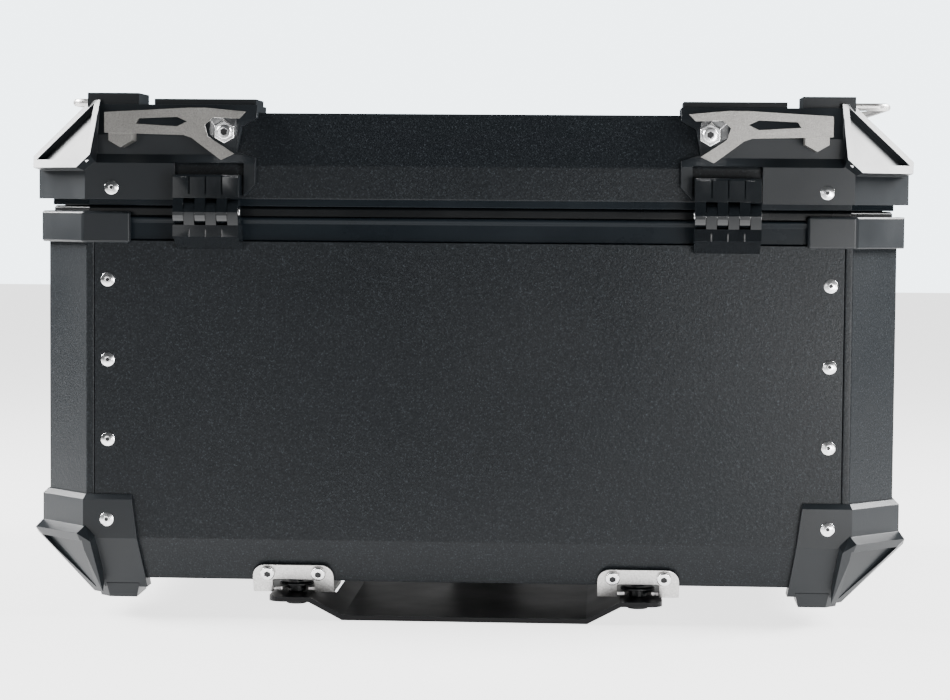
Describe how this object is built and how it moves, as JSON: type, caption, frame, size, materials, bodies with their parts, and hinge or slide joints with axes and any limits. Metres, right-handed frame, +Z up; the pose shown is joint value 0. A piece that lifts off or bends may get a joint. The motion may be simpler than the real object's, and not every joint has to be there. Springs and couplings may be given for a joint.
{
  "type": "motorcycle top case",
  "caption": "Aluminium motorcycle top case with a hinged lid, plastic corner armour, tie-down brackets, side rails, a draw latch and a slide-off mounting plate.",
  "frame": {"origin": "on the ground under the middle of the case's bounding box, the case standing on its mounting plate", "axes": "+Z up, +X to the right seen from the hinge side, +Y from the hinge side to the latch side"},
  "size_m": [0.5536, 0.4338, 0.329],
  "materials": {
    "black_coat": "fine textured black powder coat on aluminium sheet",
    "black_plastic": "matte black moulded nylon",
    "gloss_black": "glossy black",
    "stainless": "satin blasted stainless steel",
    "bright_fastener": "bright rivet metal",
    "rubber": "black rubber",
    "black_steel": "semi-gloss black steel"
  },
  "bodies": {
    "case": {"rear_panel": "black_coat", "front_panel": "black_coat", "left_panel": "black_coat", "right_panel": "black_coat", "floor_panel": "black_coat", "rim_frame": "black_plastic", "rim_seal": "rubber", "corner_post_rear_left": "black_coat", "corner_post_rear_right": "black_coat", "corner_post_front_left": "black_coat", "corner_post_front_right": "black_coat", "upper_trim_rear_left": "black_plastic", "upper_trim_rear_right": "black_plastic", "upper_trim_front_left": "black_plastic", "upper_trim_front_right": "black_plastic", "corner_protector_rear_left": "black_plastic", "corner_protector_rear_right": "black_plastic", "corner_protector_front_left": "black_plastic", "corner_protector_front_right": "black_plastic", "hinge_leaf_body_left": "gloss_black", "hinge_leaf_body_right": "gloss_black", "claw_rear_left": "stainless", "claw_rear_right": "stainless", "claw_front_left": "stainless", "claw_front_right": "stainless", "latch_housing": "gloss_black", "release_housing": "black_plastic"},
    "lid": {"lid_shell": "black_coat", "lid_frame": "black_plastic", "lid_catch": "stainless", "lid_cap_rear_left": "black_plastic", "lid_cap_rear_right": "black_plastic", "lid_cap_front_left": "black_plastic", "lid_cap_front_right": "black_plastic", "tie_strap_rear_left": "stainless", "tie_strap_rear_right": "stainless", "tie_strap_front_left": "stainless", "tie_strap_front_right": "stainless", "strap_post_rear_left": "bright_fastener", "strap_post_rear_right": "bright_fastener", "strap_post_front_left": "bright_fastener", "strap_post_front_right": "bright_fastener", "side_rail_left": "stainless", "side_rail_right": "stainless", "hinge_leaf_lid_left": "gloss_black", "hinge_leaf_lid_right": "gloss_black", "hinge_pin_left": "bright_fastener", "hinge_pin_right": "bright_fastener"},
    "plate": {"base_plate": "black_steel", "stud_rear_left": "rubber", "stud_rear_right": "rubber", "stud_front_left": "rubber", "stud_front_right": "rubber"},
    "lever": {"latch_lever": "gloss_black"},
    "hook": {"latch_hook": "stainless"},
    "lock": {"lock_barrel": "bright_fastener"},
    "release": {"release_bolt": "stainless"}
  },
  "joints": [
    {"name": "lid_hinge", "type": "hinge", "parent": "case", "child": "lid", "pos_m": [0, -0.209, 0.2545], "axis": [1, 0, 0], "range_deg": [0, 95]},
    {"name": "lever_lift", "type": "hinge", "parent": "case", "child": "lever", "pos_m": [0, 0.208, 0.223], "axis": [1, 0, 0], "range_deg": [0, 70]},
    {"name": "hook_swing", "type": "hinge", "parent": "lever", "child": "hook", "pos_m": [0, 0.208, 0.212], "axis": [1, 0, 0], "range_deg": [-70, 0]},
    {"name": "key_turn", "type": "hinge", "parent": "lever", "child": "lock", "pos_m": [0, 0.214, 0.19], "axis": [0, 1, 0], "range_deg": [0, 90]},
    {"name": "release_pull", "type": "slide", "parent": "case", "child": "release", "axis": [0, 1, 0], "range_m": [0, 0.01], "stiffness_N_per_m": 150, "springref_m": -0.004},
    {"name": "plate_slide", "type": "slide", "parent": "case", "child": "plate", "axis": [0, -1, 0], "range_m": [0, 0.035]}
  ],
  "couplings": [
    {"joint": "hook_swing", "follows": "lever_lift", "ratio": -1}
  ]
}
